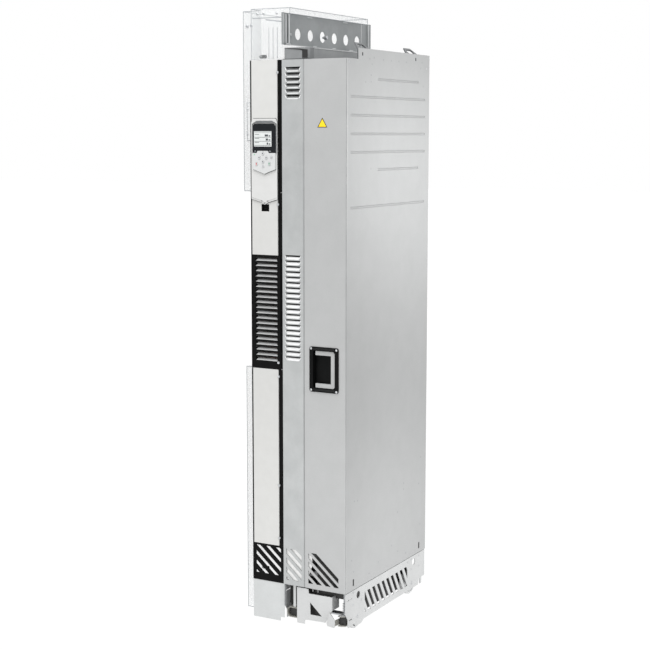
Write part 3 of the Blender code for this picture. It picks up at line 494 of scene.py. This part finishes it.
pin = bmesh.new()
pin_x, pin_y, pin_foot, spring_foot = 0.1600, -0.2230, 0.0480, 0.0500
turned(pin, (pin_x, pin_y, pin_foot), UPWARDS, [(0.0600, 0), (0.0600, 0.0020), (0.0590, 0.0025), (0, 0.0025)])
WIRE, COIL, TURNS, STEPS, RISE = 0.0008, 0.0048, 7, 12, 0.0045
for i in range(TURNS * STEPS):
    here, there = [(2 * math.pi * j / STEPS, spring_foot + RISE * j / STEPS) for j in (i, i + 1)]
    ends = [Vector((pin_x + COIL * math.cos(a), pin_y + COIL * math.sin(a), z)) for a, z in (here, there)]
    along = (ends[1] - ends[0]).normalized()
    outward = Vector((math.cos(here[0]), math.sin(here[0]), 0))
    up = along.cross(outward)
    section = [ends[0] + (outward * c + up * s) * WIRE for c, s in ((1, 0), (0, 1), (-1, 0), (0, -1))]
    slab(pin, section, ends[1] - ends[0])
piece("leg_pin_and_spring", pin, zinc_plated)

pedestal_bolts = bmesh.new()
left_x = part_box("pedestal_left_side")[0].x
for y, z in ((-0.2021, 0.1064), (-0.2021, 0.0727), (-0.1520, 0.0737), (0.2098, 0.1054),
             (0.2098, 0.0739), (0.1598, 0.1052), (0.1598, 0.0748), (0.1368, 0.1009)):
    flush_head(pedestal_bolts, (right_x, y, z), RIGHTWARDS, 0.0036)
    screw_head(pedestal_bolts, (left_x, y, z), LEFTWARDS, 0.0026)
for y in (-0.1769, 0.1626):
    flush_head(pedestal_bolts, (right_x, y, 0.0330), RIGHTWARDS, 0.0055)
piece("pedestal_bolts", pedestal_bolts, zinc_plated)


# ---- Control strip ----
# Off-white and black moulded polycarbonate-ABS. The covers clip to a black frame; the louvred
# grille has satin grey blades, and a service port sits in a pocket of the upper cover.

def moulded_plastic(name, dark, light, roughness, gloss=0.5):
    """Injection-moulded plastic with the fine matt texture of its mould; gloss is its reflectance.

    The real texture is near 0.05 mm and too fine to show, so it is drawn coarser.
    """
    grain_mm, cloud_mm, depth_mm = 0.4, 25, 0.03
    started = start_material(name, IOR=1.53)
    started[2].inputs["Specular IOR Level"].default_value = gloss
    return grained(*started, dark, light, roughness, grain_mm, cloud_mm, depth_mm)


# Flat black with hardly a highlight, so that the covers' edges stand out against it.
black_plastic = moulded_plastic("black_polycarbonate_abs", "#0B0B0B", "#0F0F0F", 0.60, 0.06)
finish(black_plastic, "control_frame", "front_grille")
# Soft off-white that goes almost to paper white where the lamps reach it.
white_plastic = moulded_plastic("off_white_polycarbonate_abs", "#BCBCBA", "#BFBFBD", 0.50, 0.30)
finish(white_plastic, "upper_cover", "lower_cover")
# A cleaner, slightly glossier white lifts the panel's mount off the cover round it.
mount_plastic = moulded_plastic("white_polycarbonate_abs", "#C0C0BF", "#C3C3C2", 0.45, 0.3)
finish(mount_plastic, "panel_platform")
finish(zinc_plated, *[f"cover_screw_{i}" for i in range(1, 7)], "front_axle", "rear_axle")

# Satin grey blades, each catching a band of light against the black grille.
blade_plastic = moulded_plastic("satin_grey_polycarbonate_abs", "#A6A7A7", "#ACADAD", 0.40, 0.5)
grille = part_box("front_grille")
LOUVRE_PITCH, LOUVRE_HEIGHT, LOUVRE_SLOT, LOUVRE_DEPTH = 0.01423, 0.0112, 0.0040, 0.0070
blade_left, blade_right, taper, lift, start = -0.1015, -0.0345, 0.0040, 0.0003, 0.0012
blades = bmesh.new()
for i in range(20):
    low = 1.0110 - LOUVRE_PITCH * i - LOUVRE_HEIGHT
    lip, lip_y = low + LOUVRE_HEIGHT - LOUVRE_SLOT, grille[0].y + LOUVRE_DEPTH
    rise = (lip - low) / LOUVRE_DEPTH
    foot_y, foot_z = grille[0].y + start, low + start * rise
    slab(blades, [(blade_left, foot_y, foot_z), (blade_right, foot_y, foot_z),
                  (blade_right - taper, lip_y - 0.0008, lip - 0.0006),
                  (blade_left + taper, lip_y - 0.0008, lip - 0.0006)], (0, -lift, lift))
piece("grille_blades", blades, blade_plastic)

# A rectangular socket: a floor, four thin walls and the tongue across its middle.
port = bmesh.new()
port_box = (-0.0815, -0.0577, 1.1342, 1.1528)
PORT_DEPTH, PORT_WALL, TONGUE = 0.0060, 0.0012, 0.0060
port_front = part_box("upper_cover")[0].y + 0.0006
front_slab(port, rectangle(*port_box), port_front + PORT_DEPTH, PORT_WALL)
left, right, low, high = port_box
for edge in (rectangle(left, left + PORT_WALL, low, high), rectangle(right - PORT_WALL, right, low, high),
             rectangle(left + PORT_WALL, right - PORT_WALL, low, low + PORT_WALL),
             rectangle(left + PORT_WALL, right - PORT_WALL, high - PORT_WALL, high)):
    front_slab(port, edge, port_front, PORT_DEPTH)
tongue_outline = rectangle(left + TONGUE, right - TONGUE, low + 0.0060, low + 0.0085)
front_slab(port, tongue_outline, port_front + 0.0020, 0.0040)
piece("service_port", port, black_plastic)

# The grey edges of the covers' joints cross the black frame.
joint_lines = bmesh.new()
frame_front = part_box("control_frame")[0].y
frame_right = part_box("control_frame")[1].x - 0.0002
for z in (1.1840, 0.7090):
    front_slab(joint_lines, rectangle(-0.0235, frame_right, z, z + 0.0010), frame_front - 0.0003, 0.0002)
piece("strip_joint_lines", joint_lines, blade_plastic)


# ---- Hand-held control panel ----
# A light grey keypad housing under a dark, glossy display housing, clipped into its raised
# mount with a dark shadow gap round it. The keys are silicone rubber with printed marks.

# Light grey and matt, a shade off the white mount.
panel_plastic = moulded_plastic("light_grey_abs", "#BDBEBE", "#C1C2C2", 0.45, 0.25)
finish(panel_plastic, "control_panel")
# Nearly black and smooth enough to hold a clear reflection.
display_plastic = moulded_plastic("smoked_acrylic", "#15171A", "#191B1E", 0.20, 0.12)
finish(display_plastic, "display_window")
# Dry, soft grey rubber, as pale as the housing round it.
key_rubber = moulded_plastic("light_grey_silicone_rubber", "#BBBCBD", "#BFC0C1", 0.60, 0.25)
finish(key_rubber, *[name for name in nodes if name.startswith("key_")])
finish(display_plastic, "key_soft_left", "key_soft_right")

# Gaps between housing and mount are drawn as dark grey lines of painted shade, heaviest along the mount's
# foot.
gap_rubber = moulded_plastic("painted_panel_gap_shade", "#2A2B2C", "#343536", 0.7, 0.2)
cover_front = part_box("upper_cover")[0].y
platform_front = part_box("panel_platform")[0].y
panel_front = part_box("control_panel")[0].y
GAP, FILM = 0.0006, 0.0002
mount = [(-0.1113, 1.1661), (-0.0801, 1.1580), (-0.0695, 1.1518), (-0.0589, 1.1580), (-0.0306, 1.1660),
         (-0.0306, 1.3702), (-0.0357, 1.3799), (-0.1053, 1.3799), (-0.1113, 1.3702)]
panel_foot = [(-0.1045, 1.2452), (-0.0790, 1.2367), (-0.0680, 1.2327), (-0.0590, 1.2367), (-0.0343, 1.2452)]
shadow_gaps = bmesh.new()
seam(shadow_gaps, mount, 2 * GAP, cover_front - 0.0003, FILM, closed=True)
seam(shadow_gaps, mount[:5], 3 * GAP, cover_front - 0.0004, FILM)
seam(shadow_gaps, panel_foot, 2 * GAP, platform_front - 0.0003, FILM)
piece("panel_shadow_gaps", shadow_gaps, gap_rubber)

# The mount's lower edge is bevelled, and turns away from the light.
shaded_white = moulded_plastic("shaded_white_chamfer", "#ABABAA", "#B1B1B0", 0.50, 0.3)
mount_foot = [(-0.1085, 1.1700), (-0.0790, 1.1618), (-0.0695, 1.1560), (-0.0600, 1.1618), (-0.0335, 1.1700)]
chamfer = bmesh.new()
seam(chamfer, mount_foot, 0.0030, platform_front - 0.0001, FILM)
piece("mount_chamfer", chamfer, shaded_white)

# A satin grey cradle frames the display, with a finger notch over it.
grey_trim = moulded_plastic("satin_dark_grey_abs", "#5E6062", "#686A6C", 0.35, 0.5)
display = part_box("display_window")
frame_left, frame_end = display[0].x - 0.0014, display[1].x + 0.0014
cradle_path = [(frame_left, 1.2890), (frame_left, 1.3650), (-0.1000, 1.3690), (-0.0390, 1.3690),
               (frame_end, 1.3650), (frame_end, 1.2890)]
finger_notch = [(-0.0985, 1.3702), (-0.0405, 1.3702), (-0.0450, 1.3735), (-0.0940, 1.3735)]
cradle = bmesh.new()
seam(cradle, cradle_path, 0.0016, platform_front - 0.0016, 0.0014)
front_slab(cradle, finger_notch, platform_front - 0.0012, 0.0010)
piece("display_cradle", cradle, grey_trim)

# Pale greenish film behind dark grey segments, as on an unlit liquid-crystal display.
lcd_film = coated("reflective_lcd_film", "#C2C5C4", "#CACDCC", 0.30, 0.3, 12, 0.01)
screen = bmesh.new()
front_slab(screen, rectangle(-0.0998, -0.0455, 1.3060, 1.3462), panel_front - 0.0003, FILM)
piece("lcd_screen", screen, lcd_film)

lcd_ink = coated("lcd_segments", "#33373A", "#3E4245", 0.35, 0.3, 10, 0.01)
ROW_LEFT, ROW_RIGHT, ROW_PITCH = -0.0985, -0.0468, 0.0106
rows = [(ROW_LEFT, ROW_RIGHT, 1.3436, 1.3444), (ROW_LEFT, ROW_RIGHT, 1.3086, 1.3092)]
for i in range(3):
    base = 1.3324 - ROW_PITCH * i
    rows += [(ROW_LEFT, ROW_RIGHT, base - 0.0026, base - 0.0018),
             (-0.0968, -0.0840, base + 0.0050, base + 0.0062),
             (-0.0660 + 0.0030 * i, -0.0560, base, base + 0.0052),
             (-0.0540, -0.0490, base, base + 0.0030)]
bars = bmesh.new()
for row in rows:
    front_slab(bars, rectangle(*row), panel_front - 0.0005, FILM)
piece("lcd_bars", bars, lcd_ink)

# A print stands this far out of its key.
INK = 0.0001


def key_middle(name):
    """The middle of a key's face, seen from the front, and the plane just proud of it."""
    low_corner, high_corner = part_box(name)
    return (low_corner.x + high_corner.x) / 2, (low_corner.z + high_corner.z) / 2, low_corner.y - INK


def round_outline(x, z, radius, corners, heading=0):
    """Corners spread evenly round a circle, the first of them at a heading in degrees."""
    turns = [math.radians(heading + 360 / corners * i) for i in range(corners)]
    return [(x + radius * math.cos(turn), z + radius * math.sin(turn)) for turn in turns]


# Pad-printed inks, flat and matt: grey for moving about, red for stop and green for start.
print_grey = coated("grey_pad_print", "#2C2F31", "#34373A", 0.5, 0.3, 10, 0.01)
print_red = coated("red_pad_print", "#C4302B", "#CC3A33", 0.5, 0.3, 10, 0.01)
print_green = coated("green_pad_print", "#2F8F63", "#38996B", 0.5, 0.3, 10, 0.01)
for name, heading in (("key_up", 90), ("key_left", 180), ("key_right", 0), ("key_down", 270)):
    x, z, y = key_middle(name)
    mark = bmesh.new()
    front_slab(mark, round_outline(x, z, 0.0026, 3, heading), y, INK)
    piece(name + "_arrow", mark, print_grey, name)

for name, ink, slot in (("key_stop", print_red, "red_key_plastic"),
                        ("key_start", print_green, "green_key_plastic")):
    x, z, y = key_middle(name)
    mark = bmesh.new()
    front_slab(mark, rectangle(x - 0.0009, x + 0.0009, z - 0.0034, z + 0.0010), y, INK)
    front_slab(mark, round_outline(x, z + 0.0016, 0.0018, 12), y, INK)
    piece(name + "_mark", mark, ink, name)

for name in ("key_local_remote", "key_help"):
    x, z, y = key_middle(name)
    mark = bmesh.new()
    seam(mark, round_outline(x, z, 0.0017, 8), 0.0004, y, INK, closed=True)
    piece(name + "_ring", mark, print_grey, name)

# The two soft keys are dark, and the light satin grey bar on each is a painted highlight, where their curved
# faces catch the light.
key_glint = moulded_plastic("satin_light_grey_print", "#9A9DA0", "#A4A7AA", 0.35, 0.4)
for name in ("key_soft_left", "key_soft_right"):
    x, z, y = key_middle(name)
    bar = [(x - 0.0032, z - 0.0008), (x + 0.0032, z - 0.0008),
           (x + 0.0028, z + 0.0006), (x - 0.0028, z + 0.0006)]
    mark = bmesh.new()
    front_slab(mark, bar, y, INK)
    piece(name + "_bar", mark, key_glint, name)

# A small domed lens, glossy and plain green.
led_lens = coated("green_led_lens", "#35B06B", "#3FBC76", 0.25, 0.3, 10, 0.01)
led = bmesh.new()
turned(led, (-0.0993, panel_front, 1.2845), FORWARDS, [(0.0008, 0), (0.0006, 0.0009), (0, 0.0013)], sides=14)
piece("status_led", led, led_lens)


# ---- Caution triangle ----
# A plain yellow vinyl triangle with a dark border, with nothing printed inside it. The yellow
# is the only strong colour on the whole front.
vinyl_yellow = coated("yellow_vinyl", "#E8C400", "#EFCC0A", 0.45, 0.3, 15, 0.01)
vinyl_dark = coated("black_vinyl", "#1D1B12", "#262418", 0.45, 0.3, 15, 0.01)
TRIANGLE_X, HALF_WIDTH, BASE, APEX = 0.1034, 0.0150, 1.3555, 1.3810
middle = BASE + (APEX - BASE) / 3
for name, ink, reach, proud in (("triangle_border", vinyl_dark, 1.0, 0.0002),
                                ("triangle_field", vinyl_yellow, 0.78, 0.0003)):
    sticker = bmesh.new()
    outline = [(TRIANGLE_X + u * HALF_WIDTH * reach, middle + (v - middle) * reach)
               for u, v in ((-1, BASE), (1, BASE), (0, APEX))]
    front_slab(sticker, outline, front_y - proud, 0.0001)
    piece(name, sticker, ink)


# ---- Pull handle ----
# A deep black dish of glass-filled nylon, screwed in at its corners, with a ribbed bezel and a
# light grey bail folded into it.

# Deep matt black, so that the dish reads as a hole in the front.
dish_plastic = moulded_plastic("black_glass_filled_nylon", "#0B0C0C", "#0F1010", 0.5, 0.06)
finish(dish_plastic, "handle_dish")
# The glass fibres leave the grey bail slightly dry and uneven.
grip_plastic = moulded_plastic("grey_glass_filled_nylon", "#A1A2A2", "#A7A8A8", 0.5, 0.3)
finish(grip_plastic, "handle_bail")
dish_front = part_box("handle_dish")[0].y
dish_screws = bmesh.new()
for x, z in ((0.0702, 0.7745), (0.1468, 0.7740), (0.0702, 0.6630), (0.1468, 0.6622)):
    screw_head(dish_screws, (x, dish_front, z), FORWARDS, 0.0034)
piece("dish_screws", dish_screws, zinc_plated)

# Satin ribs catch just enough light to show on the black bezel.
satin_black = moulded_plastic("satin_black_nylon", "#1D1E1E", "#232424", 0.35, 0.2)
RIB_HEIGHT, RIB_DEPTH = 0.0008, 0.0005
dish_ribs = bmesh.new()
for z in (0.7716, 0.7735, 0.7754, 0.6618, 0.6637, 0.6656):
    front_slab(dish_ribs, rectangle(0.0762, 0.1408, z, z + RIB_HEIGHT), dish_front - RIB_DEPTH, RIB_DEPTH)
piece("dish_ribs", dish_ribs, satin_black)


# ---- Clear shrouds ----
# Folded polycarbonate sheet, 2 mm, held by standoffs. Face on it hardly shows; its polished
# edges gather light and draw grey lines round it.

# A breath of pale grey over what is behind it, with sharp reflections.
clear_started = start_material("clear_polycarbonate", IOR=1.58, Alpha=0.13)
clear_started[2].inputs["Specular IOR Level"].default_value = 0.4
clear_sheet = grained(*clear_started, "#D6D9DA", "#DCDFE0", 0.12, 30, 80, 0.002)
finish(clear_sheet, "upper_shroud", "lower_shroud")
# The edges look almost solid: light leaves the sheet there as a cool mid grey.
edge_started = start_material("polished_polycarbonate_edge", IOR=1.58, Alpha=0.75)
clear_edge = grained(*edge_started, "#92969A", "#A0A4A8", 0.15, 30, 40, 0.002)


def rod(bm, start, end, half):
    """A square bar between two points; half is half its width."""
    along = (Vector(end) - Vector(start)).normalized()
    first = along.orthogonal().normalized() * half
    second = along.cross(first)
    corners = [Vector(start) + a * first + b * second for a, b in ((1, 1), (-1, 1), (-1, -1), (1, -1))]
    slab(bm, corners, Vector(end) - Vector(start))


# The upper shroud: round its roof, down its corners, along its folds and vent slits, and round
# the pressed bump on its front.
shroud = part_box("upper_shroud")
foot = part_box("lower_shroud")
EDGE, INSET = 0.0007, 0.0009
cap_y, side_y = front_y + 0.0085, front_y + 0.0585
outer_x, wall_x, lip_x = shroud[0].x + INSET, -0.1178, shroud[1].x - INSET
side_line, cap_line, back_line = side_y + INSET, cap_y + INSET, shroud[1].y - INSET
top, low = shroud[1].z - INSET, shroud[0].z + INSET
edges = bmesh.new()
roof = [(outer_x, side_line), (wall_x, side_line), (wall_x, cap_line),
        (lip_x, cap_line), (lip_x, back_line), (outer_x, back_line)]
for (xa, ya), (xb, yb) in zip(roof, roof[1:] + roof[:1]):
    rod(edges, (xa, ya, top), (xb, yb, top), EDGE)
for x, y, bottom in ((outer_x, side_line, low), (wall_x, cap_line, 1.5350), (lip_x, cap_line, 1.6500),
                     (outer_x, back_line, low), (lip_x, back_line, 1.6500)):
    rod(edges, (x, y, bottom), (x, y, top), EDGE)
rod(edges, (lip_x, cap_y, 1.6506), (lip_x, shroud[1].y, 1.6506), 0.0006)
rod(edges, (outer_x, side_line, low), (wall_x, side_line, low), 0.0009)
rod(edges, (-0.1130, cap_line, 1.6420), (-0.0220, cap_line, 1.6420), 0.0008)
rod(edges, (-0.0900, cap_y + 0.030, 1.6400), (-0.0240, cap_y + 0.030, 1.6310), 0.0012)
for x in (-0.0632, -0.0504, -0.0375):
    rod(edges, (x, cap_line, 1.5360), (x, cap_line, 1.6165), 0.0006)
bump = rectangle(shroud[0].x + 0.012, wall_x - 0.012, 1.3210, 1.4230)
for (xa, za), (xb, zb) in zip(bump, bump[1:] + bump[:1]):
    rod(edges, (xa, side_y - 0.0005, za), (xb, side_y - 0.0005, zb), 0.0006)

# The lower shroud: up its front corner, along its top and foot, and up its back.
foot_x, foot_front, foot_back = foot[0].x + INSET, side_y + 0.005 + INSET, foot[1].y - INSET
rod(edges, (foot_x, foot_front, foot[0].z), (foot_x, foot_front, foot[1].z), EDGE)
for z in (foot[1].z - INSET, foot[0].z + INSET):
    rod(edges, (foot_x, foot_front, z), (wall_x, foot_front, z), EDGE)
rod(edges, (foot_x, foot_back, foot[0].z), (foot_x, foot_back, foot[1].z), EDGE)
piece("clear_sheet_edges", edges, clear_edge)

shroud_screws = bmesh.new()
for x, z, radius in ((-0.1612, 1.6263, 0.0045), (-0.1482, 1.6275, 0.0040), (-0.1622, 1.4048, 0.0028),
                     (-0.1622, 1.3377, 0.0028), (-0.1450, 1.2216, 0.0035)):
    screw_head(shroud_screws, (x, side_y - 0.0001, z), FORWARDS, radius)
for x in (-0.0973, -0.0788, -0.0388):
    screw_head(shroud_screws, (x, cap_y - 0.0001, 1.6525), FORWARDS, 0.0034)
for z in (0.10, 0.35, 0.60, 1.25, 1.55):
    for y in (-0.10, 0.12):
        flush_head(shroud_screws, (shroud[0].x, y, z), LEFTWARDS, 0.0036)
piece("shroud_screws", shroud_screws, zinc_plated)

standoffs = bmesh.new()
dome = [(0.0060, 0), (0.0055, 0.0035), (0, 0.0042)]
turned(standoffs, (-0.1290, side_y + 0.0045, 0.6885), FORWARDS, dome)
pillar = [(0.0180, 0), (0.0180, 0.0050), (0, 0.0050)]
for y in (-0.10, 0.12):
    for z in (0.10, 0.60, 1.25, 1.55):
        turned(standoffs, (shroud[0].x + 0.0022, y, z), RIGHTWARDS, pillar, sides=12)
piece("shroud_standoffs", standoffs, black_plastic)


# ---- Wheels ----
# Moulded polyamide wheels that run on plain steel axles through the pedestal's sides. The
# plastic is light grey and matt, close to the pedestal's own tone.
wheel_plastic = moulded_plastic("light_grey_polyamide", "#B9BABA", "#C0C1C1", 0.5, 0.4)
finish(wheel_plastic, "front_left_wheel", "front_right_wheel", "rear_left_wheel", "rear_right_wheel")


# ---- Inside ----
# Copper bars, an aluminium heat sink, capacitors, the control board and the fan, as far as
# they show through the louvres and the clear shrouds.

# Rolling and extruding draw the grain out along the bars, so highlights streak upwards.
UPRIGHT_GRAIN = (1, 1, 0.05)
rolled = start_material("rolled_copper", Metallic=1.0)
copper = grained(*rolled, "#B8795C", "#C48667", 0.35, 1.5, 25, 0.02, stretch=UPRIGHT_GRAIN)
finish(copper, "busbar_1", "busbar_2", "busbar_3")
extruded = start_material("extruded_aluminium", Metallic=1.0)
aluminium = grained(*extruded, "#A6A9AB", "#B2B5B7", 0.40, 1.0, 20, 0.03, stretch=UPRIGHT_GRAIN)
finish(aluminium, "heat_sink")
# Sleeves, board and fan are dark, and show mostly as depth behind the sheets.
finish(moulded_plastic("black_sleeved_capacitor", "#1D1F22", "#25272A", 0.45), "capacitor_bank")
finish(moulded_plastic("green_circuit_board", "#123F2A", "#174A32", 0.45), "control_board")
finish(moulded_plastic("black_fan_plastic", "#161616", "#1C1C1C", 0.5), "fan_rotor")

# A hexagon bolt on a washer at each end of the three bars.
hexagon = [(0.0070, 0), (0.0070, 0.0080), (0.0010, 0.0085)]
washer = [(0.0010, 0.0110), (0, 0.0110)]
terminal_screws = bmesh.new()
for y in (-0.074, 0.046, 0.166):
    for z in (0.345, 1.385):
        turned(terminal_screws, (-0.0802, y, z), LEFTWARDS, hexagon + washer, sides=6)
piece("terminal_screws", terminal_screws, zinc_plated)


# ---- Studio ----
# A back-lit white floor under an even white sky, so that no shadow falls round the wheels. A
# soft lamp hangs above the front, and pools of light lie on the right side and the foot.
floor_reach = 30.0
floor_outline = rectangle(-floor_reach, floor_reach, -floor_reach, floor_reach)
floor_mesh = bpy.data.meshes.new("studio_floor")
floor_mesh.from_pydata([(x, y, 0) for x, y in floor_outline], [], [(0, 1, 2, 3)])
floor = bpy.data.objects.new("studio_floor", floor_mesh)
lit_floor, _, _ = start_material("back_lit_acrylic", Base_Color=linear("#101010"), Roughness=1.0,
                                 Emission_Color=linear("#FFFFFF"), Emission_Strength=1.0)
floor_mesh.materials.append(lit_floor)
bpy.context.scene.collection.objects.link(floor)

world = bpy.data.worlds.new("studio")
world.use_nodes = True
world.node_tree.nodes["Background"].inputs["Color"].default_value = (1, 1, 1, 1)
world.node_tree.nodes["Background"].inputs["Strength"].default_value = 1.0
bpy.context.scene.world = world


def lamp(name, kind, place, aim, power, **settings):
    """A lamp pointed at a spot."""
    source = bpy.data.lights.new(name, kind)
    source.energy = power
    for key, value in settings.items():
        setattr(source, key, value)
    light = bpy.data.objects.new(name, source)
    light.location = place
    light.rotation_euler = (Vector(aim) - Vector(place)).to_track_quat("-Z", "Y").to_euler()
    light.visible_camera = False
    bpy.context.scene.collection.objects.link(light)


lamp("overhead_softbox", "AREA", (0.1, -1.5, 4.2), (0.05, -0.2, 0.9), 105, size=1.6)
lamp("low_front_softbox", "AREA", (-0.5, -2.2, 0.25), (0.0, -0.25, 0.6), 5, size=0.8)
lamp("low_front_pool", "SPOT", (-0.2, -2.2, 0.30), (0.03, -0.25, 0.02), 20,
     spot_size=math.radians(42), spot_blend=1.0, shadow_soft_size=0.25)
lamp("rear_side_pool", "SPOT", (1.9, 0.95, 1.38), (0.175, 0.20, 1.16), 95,
     spot_size=math.radians(32), spot_blend=1.0, shadow_soft_size=0.25)
lamp("front_side_pool", "SPOT", (1.9, 0.20, 1.55), (0.175, -0.14, 1.36), 34,
     spot_size=math.radians(25), spot_blend=1.0, shadow_soft_size=0.25)
lamp("low_side_pool", "SPOT", (1.9, -0.50, 0.35), (0.175, 0.06, 0.15), 85,
     spot_size=math.radians(36), spot_blend=1.0, shadow_soft_size=0.25)
